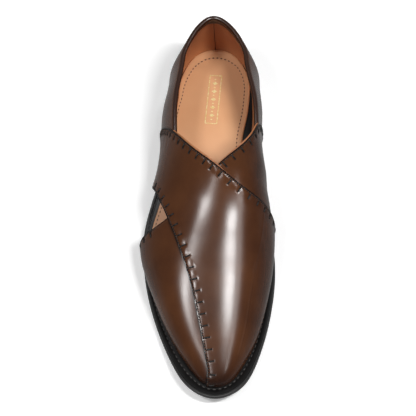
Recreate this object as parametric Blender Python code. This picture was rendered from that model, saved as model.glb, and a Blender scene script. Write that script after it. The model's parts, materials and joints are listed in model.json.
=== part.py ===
"""Right shoe of a closed-toe Peshawari chappal: crossed leather straps and a closed heel on a welted sole.

The toe points along -Y and the heel along +Y; the lateral (outer) side is -X and the medial side +X.
The origin is on the floor, at the middle of the heel's flat bottom. Sizes are in millimetres, and
"forward" is the distance from the origin towards the toe.
"""
from collections import namedtuple

import bmesh
import bpy
import numpy as np

MM = 0.001

# ---- driving dimensions, in millimetres ----
HEEL_HEIGHT = 18.0          # the heel block, which lifts the back of the outsole
OUTSOLE_THICKNESS = 6.0
WELT_THICKNESS = 3.0
INSOLE_ABOVE_WELT = 1.5
TOE_SPRING = 12.0           # how far the outsole's tip is off the floor
LEATHER = 2.0               # one layer of the upper with its lining
BOND = 0.7                  # how deep an overlapping layer is sunk into the layer under it
GAP = 0.3                   # clearance between pieces that meet
FOOT_STEP = 0.3             # each overlapping layer's foot is cut this much shorter

SEAT_END = 25.0             # forward end of the flat heel seat
TREAD_START = 138.0         # the forefoot's flat tread runs from here
TREAD_END = 175.0           # to here, and then the toe springs up
BREAST = 21.0               # the heel block's front face
HEEL_TAPER = 1.5            # how much the heel block narrows towards the floor
BREAST_HOLLOW = 3.0         # how far the middle of that face is set back
WELT_SETBACK = 0.8          # the welt's edge lies this far inside the outsole's

TUCK_REACH = 6.0            # how high above the welt the tuck at the feather line dies away
HEEL_CURVE = 89.0           # the height at which the back of the last would close over
LAST_BACK = 41.2            # the back of the last, at its widest
SHARE_OF_HEEL = 0.44        # share of the quarter's half length that goes round the heel
QUARTER_FRONT = 78.0        # the quarter's two ends, hidden under the straps
ARCH_GAP = 5.5              # how far the insole stands off the wall at the medial arch
ARCH_CENTRE = 45.0
ARCH_LENGTH = 30.0
SOLE_BACK = 42.0            # the back edge of the outsole
SOLE_TIP = (3.0, 252.9)     # x and forward of its foremost point

Sole = namedtuple("Sole", "forward lateral medial")
SOLE = [
    Sole(0, -34.8, 33.2), Sole(30, -36.8, 34.2), Sole(60, -41.8, 33.2), Sole(85, -47.8, 36.2),
    Sole(115, -55.0, 43.8), Sole(145, -54.4, 47.3), Sole(170, -50.0, 45.8), Sole(197, -41.6, 41.0),
    Sole(222, -31.0, 33.8), Sole(240, -20.3, 25.4), Sole(249.5, -9.0, 14.8),
]

# Cross-sections of the last. "skew" swings the medial end forward and the lateral end back, "ridge" is
# the x of the crest, "fullness" squares the arch, and the tucks draw its foot in to the feather line.
Section = namedtuple("Section", "forward skew lateral medial ridge height fullness tuck_lateral tuck_medial")
LAST = [
    Section(0, 0, -35.0, 33.0, 2.2, 71, 0, 4.8, 5.1),
    Section(30, 0, -39.8, 35.2, 6.5, 74, 0, 5.5, 7.0),
    Section(60, 0, -40.3, 33.9, 12.0, 77, 0, 5.3, 7.0),
    Section(90, 0, -46.8, 39.9, 9.5, 62, -0.01, 5.0, 5.8),
    Section(114, 0, -54.0, 44.2, 6.0, 52.5, 0.01, 5.2, 6.0),
    Section(135, 0, -57.0, 44.6, 1.5, 47.2, 0.03, 7.0, 5.8),
    Section(157, 0, -51.6, 42.8, -4.0, 41.2, 0.06, 5.0, 4.8),
    Section(182, 0.2, -41.7, 38.0, -6.5, 34.2, 0.08, 3.4, 3.5),
    Section(207, 0.8, -30.6, 30.6, -5.0, 24.8, 0.08, 2.4, 2.4),
    Section(226, 2.0, -19.9, 21.0, -1.5, 15.3, 0.07, 2.0, 2.0),
    Section(237, 2.4, -12.6, 13.6, 0.0, 8.8, 0.05, 1.8, 1.8),
    Section(242, 1.4, -7.5, 6.5, -1.5, 4.9, 0.02, 1.7, 1.7),
    Section(243.6, 0, -3.0, -3.0, -3.0, 0, 0, 1.6, 1.6),
]
TIP = LAST[-1].forward

# Height of the quarter's top edge over the welt.
Topline = namedtuple("Topline", "forward lateral medial")
TOPLINE = [
    Topline(-41, 57, 57), Topline(-25, 56, 56), Topline(0, 52, 52.5), Topline(30, 48, 49),
    Topline(60, 46, 47), Topline(QUARTER_FRONT, 46, 47),
]

# Strap edges on the last: "girth" runs from 0 at the lateral feather line over the crest to 1 at the medial.
Edge = namedtuple("Edge", "forward girth")
OVER_TOP = [
    Edge(43.5, 0), Edge(47, 0.105), Edge(60.5, 0.211), Edge(78.5, 0.338), Edge(91.5, 0.467),
    Edge(104, 0.609), Edge(111, 0.76), Edge(119, 1),
]
OVER_FRONT = [
    Edge(85, 0), Edge(90, 0.085), Edge(107.5, 0.21), Edge(124.5, 0.284), Edge(145, 0.35),
    Edge(169.5, 0.419), Edge(194, 0.46), Edge(216, 0.471), Edge(230, 0.46), Edge(TIP, 0.455),
]
UNDER_TOP = [
    Edge(132.5, 0), Edge(130.5, 0.065), Edge(128.5, 0.18), Edge(124.3, 0.264), Edge(108, 0.366),
    Edge(91.4, 0.467), Edge(83.2, 0.543), Edge(69.4, 0.67), Edge(49.7, 0.846), Edge(44, 1),
]
GIRTH_MM = 150.0            # a middling girth of the last, which puts girth and forward on one scale


# ---- curves ----
def through(knots, values, places):
    """A smooth curve through the values at the knots, read at the places (a natural cubic spline)."""
    knots = np.asarray(knots, float)
    values = np.asarray(values, float)
    flat = values.ndim == 1
    if flat:
        values = values[:, None]
    count = len(knots)
    step = np.diff(knots)[:, None]
    rise = np.diff(values, axis=0) / step
    system = np.zeros((count, count))
    right = np.zeros_like(values)
    system[0, :2] = 2, 1
    system[-1, -2:] = 1, 2
    right[0], right[-1] = 3 * rise[0], 3 * rise[-1]
    for i in range(1, count - 1):
        before, after = 1 / step[i - 1, 0], 1 / step[i, 0]
        system[i, i - 1:i + 2] = before, 2 * (before + after), after
        right[i] = 3 * (rise[i - 1] * before + rise[i] * after)
    slope = np.linalg.solve(system, right)
    places = np.asarray(places, float)
    at = np.clip(places.ravel(), knots[0], knots[-1])
    i = np.clip(np.searchsorted(knots, at, side="right") - 1, 0, count - 2)
    s = (at[:, None] - knots[i][:, None]) / step[i]
    curve = ((2 * s**3 - 3 * s**2 + 1) * values[i] + (s**3 - 2 * s**2 + s) * step[i] * slope[i]
             + (3 * s**2 - 2 * s**3) * values[i + 1] + (s**3 - s**2) * step[i] * slope[i + 1])
    return curve[:, 0].reshape(places.shape) if flat else curve.reshape(places.shape + (-1,))


def travelled(points):
    """Distance along a row of points."""
    return np.concatenate([[0], np.cumsum(np.linalg.norm(np.diff(points, axis=0), axis=1))])


def along(points, shares):
    """Places on a polyline at the given shares of its length."""
    run = travelled(points)
    return np.stack([np.interp(np.asarray(shares) * run[-1], run, column) for column in points.T], -1)


def smooth_loop(points, count):
    """A closed smooth curve through the points."""
    ring = np.vstack([points[-4:], points, points[:5]])
    knots = np.concatenate([[0], np.cumsum(np.linalg.norm(np.diff(ring, axis=0), axis=1) ** 0.5)])
    places = np.linspace(knots[4], knots[4 + len(points)], count, endpoint=False)
    return through(knots, ring, places)


# ---- the bottom's profile ----
def tread(forward):
    """Height of the outsole's underside: heel seat, waist, flat tread, toe spring."""
    waist = np.clip((forward - SEAT_END) / (TREAD_START - SEAT_END), 0, 1)
    toe = np.clip((forward - TREAD_END) / (SOLE_TIP[1] - TREAD_END), 0, None)
    return HEEL_HEIGHT * (1 + np.cos(np.pi * waist)) / 2 + TOE_SPRING * toe**2


def board(forward):
    """Height of the welt's top, on which the upper stands."""
    return tread(forward) + OUTSOLE_THICKNESS + WELT_THICKNESS


# ---- the last ----
behind = [row._replace(forward=-row.forward) for row in LAST[2:0:-1]]
ROWS = np.array(behind + LAST, float)
HALF_WIDTHS = (ROWS[:, 3] - ROWS[:, 2]) / 2
SPACING = np.linalg.norm(np.diff(np.c_[ROWS[:, 0], HALF_WIDTHS, ROWS[:, 5]], axis=0), axis=1)
KNOTS = np.concatenate([[0], np.cumsum(SPACING ** 0.5)])
FINE = np.linspace(KNOTS[len(behind)], KNOTS[-1], 3000)
FINE_FORWARD = np.maximum.accumulate(through(KNOTS, ROWS[:, 0], FINE))


def section(forward):
    """The columns of the LAST table at any forward distance."""
    return np.moveaxis(through(KNOTS, ROWS[:, 1:], np.interp(forward, FINE_FORWARD, FINE)), -1, 0)


def arch(forward, girth):
    """x, forward and height over the welt on the untucked last, and the tuck's depth."""
    skew, lateral, medial, ridge, height, fullness, tuck_lateral, tuck_medial = section(forward)
    angle = np.pi * girth
    middle, half = (lateral + medial) / 2, (medial - lateral) / 2
    x = middle - half * np.cos(angle) + (ridge - middle) * np.sin(angle) ** 2
    up = height * (np.sin(angle) + fullness * np.sin(3 * angle)) / (1 - fullness)
    inner = (1 - np.cos(angle)) / 2
    return x, forward - skew * np.cos(angle), up, tuck_lateral * (1 - inner) + tuck_medial * inner


def unit(vectors):
    """The vectors, made one long."""
    return vectors / np.linalg.norm(vectors, axis=-1, keepdims=True)


def across_outline(forward, side):
    """Outward normal in plan of the last's outline, on the lateral (0) or medial (1) side."""
    forward = np.minimum(forward, TIP - 0.05)
    reach = np.clip((TIP - forward) / 2, 0.02, 1.0)
    x_back, f_back, _, _ = arch(forward - reach, side)
    x_front, f_front, _, _ = arch(forward + reach, side)
    turn = 1 - 2 * side
    return unit(np.stack([turn * (f_back - f_front), turn * (x_front - x_back)], -1))


NOSE = unit(across_outline(TIP, 0.0) + across_outline(TIP, 1.0))


def tip_share(forward):
    """Rises from 0 to 1 over the last stretch before the tip, where both sides meet."""
    near = np.clip(1 - (TIP - forward) / 1.5, 0, 1)
    return (near**2 * (3 - 2 * near))[..., None]


def sideways(forward, side):
    """Outward direction in plan on one side, turning to the nose at the tip."""
    share = tip_share(forward)
    return unit(across_outline(forward, side) * (1 - share) + NOSE * share)


def last(forward, girth):
    """A point of the last's surface, in the shoe's frame."""
    forward, girth = np.broadcast_arrays(np.asarray(forward, float), np.asarray(girth, float))
    x, f, up, tuck = arch(forward, girth)
    inner = ((1 - np.cos(np.pi * girth)) / 2)[..., None]
    out = sideways(forward, 0) * (1 - inner) + sideways(forward, 1) * inner
    pull = tuck * np.exp(-up / TUCK_REACH)
    x, f = x - out[..., 0] * pull, f - out[..., 1] * pull
    return np.stack([x, -f, board(f) + GAP + up], -1)


def heel_wall(turn, height):
    """The last round the heel: turn is -1 at the lateral end, 0 at the back and 1 at the medial end."""
    girth = np.arcsin(height / section(0.0)[4]) / np.pi
    lateral, medial = last(0.0, girth)[..., 0], last(0.0, 1 - girth)[..., 0]
    angle = turn * np.pi / 2
    round_back, share = np.abs(np.sin(angle)), height / TOPLINE[0].lateral
    hollow = 0.2 * np.sin(np.pi * np.clip(share, 0, 1) ** 1.6) * (1 - round_back**12) + 0.06 * (1 - share) * (1 - round_back**6)
    pinch = 1 - 0.28 * share * np.cos(angle) ** 2 - hollow * round_back
    tuck = section(0.0)[6] * 0.6 * np.exp(-height / TUCK_REACH)
    back = LAST_BACK * np.sqrt(1 - (height / HEEL_CURVE) ** 2) - tuck
    x = (lateral + medial) / 2 + (medial - lateral) / 2 * np.sin(angle) * pinch - 1.5 * share * np.cos(angle) ** 2
    return np.stack([x, back * np.cos(angle), board(0.0) + GAP + height], -1)


def quarter_forward(place):
    """Forward distance of a place on the quarter, which runs from -1 (lateral front) to 1 (medial front)."""
    side = (np.abs(place) - SHARE_OF_HEEL) / (1 - SHARE_OF_HEEL) * QUARTER_FRONT
    turn = np.clip(np.abs(place) / SHARE_OF_HEEL, 0, 1) * np.pi / 2
    return np.where(np.abs(place) < SHARE_OF_HEEL, -LAST_BACK * np.cos(turn), side)


def quarter(place, height):
    """A point of the last under the quarter, by place round the heel and height over the welt."""
    place, height = np.broadcast_arrays(np.asarray(place, float), np.asarray(height, float))
    forward = np.clip(quarter_forward(place), 0, None)
    girth = np.arcsin(height / section(forward)[4]) / np.pi
    side = last(forward, np.where(place < 0, girth, 1 - girth))
    round_heel = heel_wall(np.clip(place / SHARE_OF_HEEL, -1, 1), height)
    return np.where((np.abs(place) < SHARE_OF_HEEL)[..., None], round_heel, side)


def topline(place):
    """Height of the quarter's top edge at a place."""
    rows = np.array(TOPLINE, float)
    lateral, medial = np.moveaxis(through(rows[:, 0], rows[:, 1:], quarter_forward(place)), -1, 0)
    inner = (1 + np.sin(np.clip(place / SHARE_OF_HEEL, -1, 1) * np.pi / 2)) / 2
    return lateral * (1 - inner) + medial * inner


def lifted(point, out, reach, foot):
    """Moves points outwards; near the welt the way out is level and keeps a height over the welt's slope."""
    up = point[..., 2] - board(-point[..., 1]) - GAP
    level = np.exp(-np.clip(up, 0, None) / 4.0)
    out = unit(out)
    out[..., 2] *= 1 - level
    moved = point + unit(out) * np.asarray(reach, float)[..., None]
    moved[..., 2] += (board(-moved[..., 1]) - board(-point[..., 1]) + foot) * level
    return moved


def over_last(forward, girth, reach, foot=0.0):
    """A point at a distance outside the last, on the vamp."""
    forward, girth = np.broadcast_arrays(np.asarray(forward, float), np.asarray(girth, float))
    near = np.minimum(forward, TIP - 0.6)
    middle = np.clip(girth, 0.004, 0.996)
    lengthwise = last(near + 0.4, middle) - last(near - 0.4, middle)
    across = last(near, middle + 0.004) - last(near, middle - 0.004)
    out = np.cross(lengthwise, across)
    nose = np.append(NOSE * (1, -1), 0.0)
    share = tip_share(forward)
    return lifted(last(forward, girth), unit(out) * (1 - share) + nose * share, reach, foot)


def over_quarter(place, height, reach, foot=0.0):
    """A point at a distance outside the last, on the quarter."""
    place, height = np.broadcast_arrays(np.asarray(place, float), np.asarray(height, float))
    upward = quarter(place, height + 0.4) - quarter(place, np.clip(height - 0.4, 0, None))
    lengthwise = quarter(place + 0.006, height) - quarter(place - 0.006, height)
    return lifted(quarter(place, height), np.cross(upward, lengthwise), reach, foot)


# ---- outlines in plan: x and forward, from the heel's back by the lateral side round to it again ----
def sole_outline(inset):
    """The outsole's edge, drawn in by the inset."""
    half = (SOLE[0].medial - SOLE[0].lateral) / 2
    middle = (SOLE[0].medial + SOLE[0].lateral) / 2
    back = [(middle - half * np.sin(a), -SOLE_BACK * np.cos(a)) for a in np.radians([-60, -30, 0, 30, 60])]
    lateral = [(row.lateral, row.forward) for row in SOLE]
    medial = [(row.medial, row.forward) for row in reversed(SOLE)]
    loop = smooth_loop(np.array(back[2:] + lateral + [SOLE_TIP] + medial + back[:2]), 720)
    ahead = unit(np.roll(loop, -1, axis=0) - np.roll(loop, 1, axis=0))
    return loop + np.c_[ahead[:, 1], -ahead[:, 0]] * inset


def feather_outline(outset):
    """The last's foot in plan, let out by the outset; the insole stands off it at the medial arch."""
    heel = np.linspace(0, 1, 60, endpoint=False)
    sides = TIP * (1 - (1 - np.linspace(0, 1, 200)) ** 1.6)
    points = np.vstack([
        heel_wall(-heel, np.zeros(60)), last(sides, 0.0), last(sides[::-1][1:], 1.0),
        heel_wall(1 - heel[1:], np.zeros(59)),
    ])
    loop = np.c_[points[:, 0], -points[:, 1]]
    ahead = unit(np.roll(loop, -1, axis=0) - np.roll(loop, 1, axis=0))
    is_medial = np.clip(loop[:, 0] / 10, 0, 1)
    stand_off = ARCH_GAP * np.exp(-((loop[:, 1] - ARCH_CENTRE) / ARCH_LENGTH) ** 2) * is_medial
    return loop + np.c_[-ahead[:, 1], ahead[:, 0]] * (outset - stand_off)[:, None]


HEEL_STEPS, SIDE_STEPS = 9, 30


def stations(loop):
    """The outline at matched stations: half the heel, one side, the other side, half the heel."""
    tip = int(np.argmax(loop[:, 1]))
    lateral = int(np.argmax(loop[:, 1] > 0))
    medial = tip + int(np.argmax(loop[tip:, 1] < 0))
    closed = np.vstack([loop, loop[:1]])
    heel = np.linspace(0, 1, HEEL_STEPS, endpoint=False)
    side = np.linspace(0, 1, SIDE_STEPS, endpoint=False)
    return np.vstack([
        along(closed[:lateral + 1], heel), along(closed[lateral:tip + 1], side),
        along(closed[tip:medial + 1], side), along(closed[medial:], heel),
    ])


# ---- solids ----
def leather(name, colour, roughness):
    """A plain material for one piece."""
    material = bpy.data.materials.new(name)
    shader = material.node_tree.nodes["Principled BSDF"] if material.use_nodes else None
    if shader is None:
        material.use_nodes = True
        shader = material.node_tree.nodes["Principled BSDF"]
    shader.inputs["Base Color"].default_value = (*colour, 1)
    shader.inputs["Roughness"].default_value = roughness
    shader.inputs["Metallic"].default_value = 0
    return material


def finish(mesh, name, material, flat_angle=None):
    """Makes an object of a closed bmesh, in metres, with its faces pointing out."""
    bmesh.ops.remove_doubles(mesh, verts=mesh.verts, dist=0.02 * MM)
    bmesh.ops.dissolve_degenerate(mesh, edges=mesh.edges, dist=0.01 * MM)
    if flat_angle:
        bmesh.ops.dissolve_limit(mesh, angle_limit=flat_angle, verts=mesh.verts, edges=mesh.edges)
    bmesh.ops.recalc_face_normals(mesh, faces=mesh.faces)
    data = bpy.data.meshes.new(name)
    mesh.to_mesh(data)
    mesh.free()
    data.materials.append(material)
    piece = bpy.data.objects.new(name, data)
    bpy.context.collection.objects.link(piece)
    data.shade_smooth()
    data.set_sharp_from_angle(angle=np.radians(35))
    return piece


def add_points(mesh, points):
    """New vertices at points in millimetres, as a list in the same order."""
    return [mesh.verts.new(point * MM) for point in points]


def skin_between(mesh, first, second, closed=False):
    """Quads between two rows of vertices."""
    count = len(first)
    for i in range(count if closed else count - 1):
        j = (i + 1) % count
        mesh.faces.new((first[i], first[j], second[j], second[i]))


def sheet(name, outer, inner, material):
    """A leather piece: two matching grids of points and the edges between them."""
    mesh = bmesh.new()
    faces = [[add_points(mesh, row) for row in grid] for grid in (outer, inner)]
    for rows in faces:
        for upper_row, lower_row in zip(rows, rows[1:]):
            skin_between(mesh, upper_row, lower_row)
    for k in (0, -1):
        skin_between(mesh, faces[0][k], faces[1][k])
        skin_between(mesh, [row[k] for row in faces[0]], [row[k] for row in faces[1]])
    return finish(mesh, name, material)


def strap_grid(top, left, right, rows, columns, fade, corner=0.0, lag=1.0):
    """Forward and girth over a strap, from its top edge (row 0) to the toe's tip (last row).

    The borders are polylines, and the top edge's bow fades over a share of the rows. One row starts at
    the corner, a share of the left border. With a lag above 1 the rows set off more slowly on the right.
    """
    across = np.linspace(0, 1, columns)
    down = 1 - (1 - np.linspace(0, 1, rows)) ** 1.4
    down[np.argmin(np.abs(down - corner))] = corner
    start, end = along(left, down), along(right, down ** lag)
    bow = along(top, across) - (start[0] + (end[0] - start[0]) * across[:, None])
    straight = start[:, None] + (end - start)[:, None] * across[:, None]
    grid = straight + bow * np.clip(1 - down / fade, 0, 1)[:, None, None] ** 1.3
    return grid[..., 0], np.clip(grid[..., 1] / GIRTH_MM, 0, 1)


def edge_line(edges, count=200):
    """A smooth polyline through strap edge points, with girth in millimetres."""
    points = np.array(edges, float) * (1, GIRTH_MM)
    run = travelled(points)
    return through(run, points, np.linspace(0, run[-1], count))


def feather(start, girth):
    """The feather line from a forward distance to the tip."""
    forward = np.linspace(start, TIP, 120)
    return np.c_[forward, np.full(120, girth * GIRTH_MM)]


def build_upper(material):
    """Quarter, under strap and over strap, joined where they overlap into one hollow solid."""
    place = np.linspace(-1, 1, 49)
    share = np.linspace(0, 1, 10)[::-1, None]
    height = share * topline(place)
    quarter_piece = sheet("quarter", over_quarter(place, height, np.full(height.shape, LEATHER)),
                          over_quarter(place, height, np.zeros(height.shape)), material)

    under_left = feather(UNDER_TOP[0].forward, 0.0)
    under_right = feather(UNDER_TOP[-1].forward, 1.0)
    forward, girth = strap_grid(edge_line(UNDER_TOP), under_left, under_right, 25, 25, 0.7)
    on_quarter = np.clip((QUARTER_FRONT + 16 - forward) / 16, 0, 1)
    on_quarter = on_quarter**2 * (3 - 2 * on_quarter) * LEATHER
    under_piece = sheet("under strap", over_last(forward, girth, on_quarter + LEATHER, FOOT_STEP),
                        over_last(forward, girth, np.clip(on_quarter - BOND, 0, None), FOOT_STEP), material)

    foot = np.c_[np.linspace(OVER_TOP[0].forward, OVER_FRONT[0].forward, 12), np.zeros(12)]
    over_left = np.vstack([foot[:-1], edge_line(OVER_FRONT)])
    corner = travelled(over_left)[len(foot) - 1] / travelled(over_left)[-1]
    over_right = feather(OVER_TOP[-1].forward, 1.0)
    forward, girth = strap_grid(edge_line(OVER_TOP), over_left, over_right, 30, 25, 0.26, corner, 1.4)
    over_piece = sheet("over strap", over_last(forward, girth, np.full(forward.shape, 2 * LEATHER), 2 * FOOT_STEP),
                       over_last(forward, girth, np.full(forward.shape, LEATHER - BOND), 2 * FOOT_STEP), material)

    for cutter in (under_piece, over_piece):
        joint = quarter_piece.modifiers.new("joined " + cutter.name, "BOOLEAN")
        joint.operation = "UNION"
        joint.solver = "EXACT"
        joint.object = cutter
        cutter.hide_render = True
        cutter.display_type = "WIRE"
    quarter_piece.name = "upper"
    return quarter_piece


def drawn_in(ring, distance):
    """The ring with every side moved inwards by the distance."""
    side = unit(np.roll(ring, -1, axis=0) - ring)
    inward = np.c_[side[:, 1], -side[:, 0]]
    before = np.roll(inward, 1, axis=0)
    return ring + (inward + before) * distance / (1 + np.sum(inward * before, axis=1, keepdims=True))


def build_plate(name, ring, bottom, top, material):
    """A plate cut to an outline, whose two faces follow the bottom's profile."""
    count = len(ring)
    mesh = bmesh.new()
    levels = [add_points(mesh, np.c_[ring[:, 0], -ring[:, 1], level(ring[:, 1])]) for level in (bottom, top)]
    skin_between(mesh, *levels, closed=True)
    for level in levels:
        for i in range(count // 2):
            corners = [level[i], level[i + 1], level[count - i - 1], level[-i % count]]
            mesh.faces.new(list(dict.fromkeys(corners)))
    return finish(mesh, name, material, flat_angle=np.radians(0.02))


def build_welt(material):
    """The ring round the insole that carries the upper, stitched to the outsole."""
    outer, inner = stations(sole_outline(WELT_SETBACK)), stations(feather_outline(-GAP))
    mesh = bmesh.new()
    rings = []
    for ring, level in ((outer, board), (inner, board), (inner, welt_bottom), (outer, welt_bottom)):
        rings.append(add_points(mesh, np.c_[ring[:, 0], -ring[:, 1], level(ring[:, 1])]))
    for first, second in zip(rings, rings[1:] + rings[:1]):
        skin_between(mesh, first, second, closed=True)
    return finish(mesh, "welt", material)


def build_heel(material):
    """The heel block: the sole's outline behind the breast, tapered to the floor."""
    loop = sole_outline(0.0)
    block = np.roll(loop, len(loop) // 2, axis=0)
    block = block[block[:, 1] < BREAST]
    sweep = np.linspace(0, 1, 9)[1:-1]
    ends = block[-1], block[0]
    breast = np.stack([ends[0][0] + (ends[1][0] - ends[0][0]) * sweep,
                       BREAST - BREAST_HOLLOW * np.sin(np.pi * sweep)], -1)
    outline = np.vstack([along(block, np.linspace(0, 1, 40)), breast])
    centre = outline.mean(axis=0)
    away = outline - centre
    small = outline - away / np.linalg.norm(away, axis=1, keepdims=True) * HEEL_TAPER
    mesh = bmesh.new()
    levels = [add_points(mesh, np.c_[ring[:, 0], -ring[:, 1], np.full(len(ring), z)])
              for ring, z in ((small, 0.0), (outline, HEEL_HEIGHT - GAP))]
    skin_between(mesh, *levels, closed=True)
    for level in levels:
        mesh.faces.new(level)
    return finish(mesh, "heel", material)


def welt_bottom(forward):
    """Height of the outsole's top and a clearance, where the welt and the insole lie."""
    return tread(forward) + OUTSOLE_THICKNESS


def outsole_top(forward):
    """Height of the outsole's top."""
    return tread(forward) + OUTSOLE_THICKNESS - GAP


def insole_top(forward):
    """Height of the insole's top."""
    return board(forward) + INSOLE_ABOVE_WELT


for existing in list(bpy.data.objects):
    bpy.data.objects.remove(existing, do_unlink=True)

BROWN = (0.075, 0.028, 0.014)
BLACK = (0.012, 0.011, 0.011)
TAN = (0.60, 0.34, 0.20)
build_upper(leather("brown leather", BROWN, 0.35))
build_plate("insole", drawn_in(stations(feather_outline(-GAP)), GAP), welt_bottom, insole_top, leather("tan leather", TAN, 0.55))
build_welt(leather("black welting", BLACK, 0.5))
build_plate("outsole", stations(sole_outline(0.0)), tread, outsole_top, leather("black rubber", BLACK, 0.6))
build_heel(leather("black heel rubber", BLACK, 0.6))
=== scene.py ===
"""A right Peshawari chappal in polished chestnut leather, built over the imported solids.

Two crossed straps and a closed quarter stand on a black welt and a rubber sole. Lengths are in
millimetres until a mesh is made. "Forward" runs from the heel's middle to the toe, which points
along -Y; the lateral side is -X. Heights over the welt are called "up".
"""
import json
import math
from collections import namedtuple

import bpy
import numpy as np
from mathutils import Matrix, Vector

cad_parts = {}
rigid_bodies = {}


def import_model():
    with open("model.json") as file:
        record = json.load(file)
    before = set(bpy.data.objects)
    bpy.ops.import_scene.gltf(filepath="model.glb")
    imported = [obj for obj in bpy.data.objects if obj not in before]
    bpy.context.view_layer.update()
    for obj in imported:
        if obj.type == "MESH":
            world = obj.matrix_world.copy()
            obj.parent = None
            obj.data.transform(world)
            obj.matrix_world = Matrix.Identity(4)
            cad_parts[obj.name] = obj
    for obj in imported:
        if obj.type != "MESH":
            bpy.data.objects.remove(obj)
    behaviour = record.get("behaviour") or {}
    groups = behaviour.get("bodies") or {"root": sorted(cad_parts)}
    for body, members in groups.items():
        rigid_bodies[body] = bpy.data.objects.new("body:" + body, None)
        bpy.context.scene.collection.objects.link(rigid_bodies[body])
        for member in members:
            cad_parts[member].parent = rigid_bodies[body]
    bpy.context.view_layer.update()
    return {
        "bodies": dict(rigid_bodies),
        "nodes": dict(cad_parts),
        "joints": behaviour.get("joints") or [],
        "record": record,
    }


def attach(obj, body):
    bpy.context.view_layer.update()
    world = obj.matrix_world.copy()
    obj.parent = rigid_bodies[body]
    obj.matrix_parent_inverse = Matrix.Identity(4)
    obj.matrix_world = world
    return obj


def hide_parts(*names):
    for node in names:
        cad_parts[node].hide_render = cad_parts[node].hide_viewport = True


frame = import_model()
bpy.ops.object.select_all(action="DESELECT")


# ------------------------------------------------------------
# The outsole is a slab of black rubber, cut to the shoe's outline and ground smooth round the edge.
# It rises to the waist behind the ball, lies flat under the ball and springs up at the toe.
MM = 0.001
HEEL_HEIGHT, SEAT_END, TREAD_START, TREAD_END, TOE_SPRING = 18.0, 25.0, 138.0, 175.0, 12.0
SOLE_BACK, SOLE_TIP = 42.0, (3.0, 252.9)
SMOOTH, RING = 1440, 400        # corners round the sole's smooth curve, and round a finished ring

Sole = namedtuple("Sole", "forward lateral medial")
SOLE = [
    Sole(0, -34.8, 33.2), Sole(30, -36.8, 34.2), Sole(60, -41.8, 33.2), Sole(85, -47.8, 36.2),
    Sole(115, -55.0, 43.8), Sole(145, -54.4, 47.3), Sole(170, -50.0, 45.8), Sole(197, -41.6, 41.0),
    Sole(222, -31.0, 33.8), Sole(240, -20.3, 25.4), Sole(249.5, -9.0, 14.8),
]
# One ring of a slab: how far in from the edge, height over the tread, share of the way to the middle.
Step = namedtuple("Step", "inset rise inwards", defaults=(0,))


def through(knots, values, places):
    """A smooth curve through the values at the knots, read at the places."""
    knots, values = np.asarray(knots, float), np.asarray(values, float)
    flat = values.ndim == 1
    if flat:
        values = values[:, None]
    count, step = len(knots), np.diff(knots)[:, None]
    rise = np.diff(values, axis=0) / step
    system, right = np.zeros((count, count)), np.zeros_like(values)
    system[0, :2], system[-1, -2:] = (2, 1), (1, 2)
    right[0], right[-1] = 3 * rise[0], 3 * rise[-1]
    for i in range(1, count - 1):
        before, after = 1 / step[i - 1, 0], 1 / step[i, 0]
        system[i, i - 1:i + 2] = before, 2 * (before + after), after
        right[i] = 3 * (rise[i - 1] * before + rise[i] * after)
    slope = np.linalg.solve(system, right)
    places = np.asarray(places, float)
    at = np.clip(places.ravel(), knots[0], knots[-1])
    i = np.clip(np.searchsorted(knots, at, side="right") - 1, 0, count - 2)
    s = (at[:, None] - knots[i][:, None]) / step[i]
    curve = ((2 * s**3 - 3 * s**2 + 1) * values[i] + (s**3 - 2 * s**2 + s) * step[i] * slope[i]
             + (3 * s**2 - 2 * s**3) * values[i + 1] + (s**3 - s**2) * step[i] * slope[i + 1])
    return curve[:, 0].reshape(places.shape) if flat else curve.reshape(places.shape + (-1,))


def unit(vectors):
    """The vectors, made one long."""
    return vectors / np.linalg.norm(vectors, axis=-1, keepdims=True)


def travelled(points):
    """Distance along a row of points."""
    return np.concatenate([[0], np.cumsum(np.linalg.norm(np.diff(points, axis=0), axis=1))])


def along(points, shares):
    """Places on a polyline at the given shares of its length."""
    run = travelled(points)
    return np.stack([np.interp(np.asarray(shares) * run[-1], run, column) for column in points.T], -1)


def smooth_loop(points, count):
    """A closed smooth curve through the points."""
    ring = np.vstack([points[-4:], points, points[:5]])
    knots = np.concatenate([[0], np.cumsum(np.linalg.norm(np.diff(ring, axis=0), axis=1) ** 0.5)])
    return through(knots, ring, np.linspace(knots[4], knots[4 + len(points)], count, endpoint=False))


def tread(forward):
    """Height of the outsole's underside."""
    waist = np.clip((forward - SEAT_END) / (TREAD_START - SEAT_END), 0, 1)
    toe = np.clip((forward - TREAD_END) / (SOLE_TIP[1] - TREAD_END), 0, None)
    return HEEL_HEIGHT * (1 + np.cos(np.pi * waist)) / 2 + TOE_SPRING * toe**2


def inwards_of(loop):
    """Inward direction in plan all round a loop."""
    ahead = unit(np.roll(loop, -1, axis=0) - np.roll(loop, 1, axis=0))
    return np.c_[ahead[:, 1], -ahead[:, 0]]


def halves(loop):
    """The loop's two sides from the heel's back to the tip, cut at equal shares of their length."""
    tip = int(np.argmax(loop[:, 1]))
    closed = np.vstack([loop, loop[:1]])
    share = np.linspace(0, 1, RING // 2, endpoint=False)
    return np.vstack([along(closed[:tip + 1], share), along(closed[tip:], share)])


def sole_outline(inset):
    """The outsole's edge in plan, from the heel's back round by the lateral side, drawn in by the inset."""
    half, middle = (SOLE[0].medial - SOLE[0].lateral) / 2, (SOLE[0].medial + SOLE[0].lateral) / 2
    back = [(middle - half * np.sin(a), -SOLE_BACK * np.cos(a)) for a in np.radians([-60, -30, 0, 30, 60])]
    lateral = [(row.lateral, row.forward) for row in SOLE]
    medial = [(row.medial, row.forward) for row in reversed(SOLE)]
    loop = smooth_loop(np.array(back[2:] + lateral + [SOLE_TIP] + medial + back[:2]), SMOOTH)
    return halves(loop + inwards_of(loop) * inset)


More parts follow.
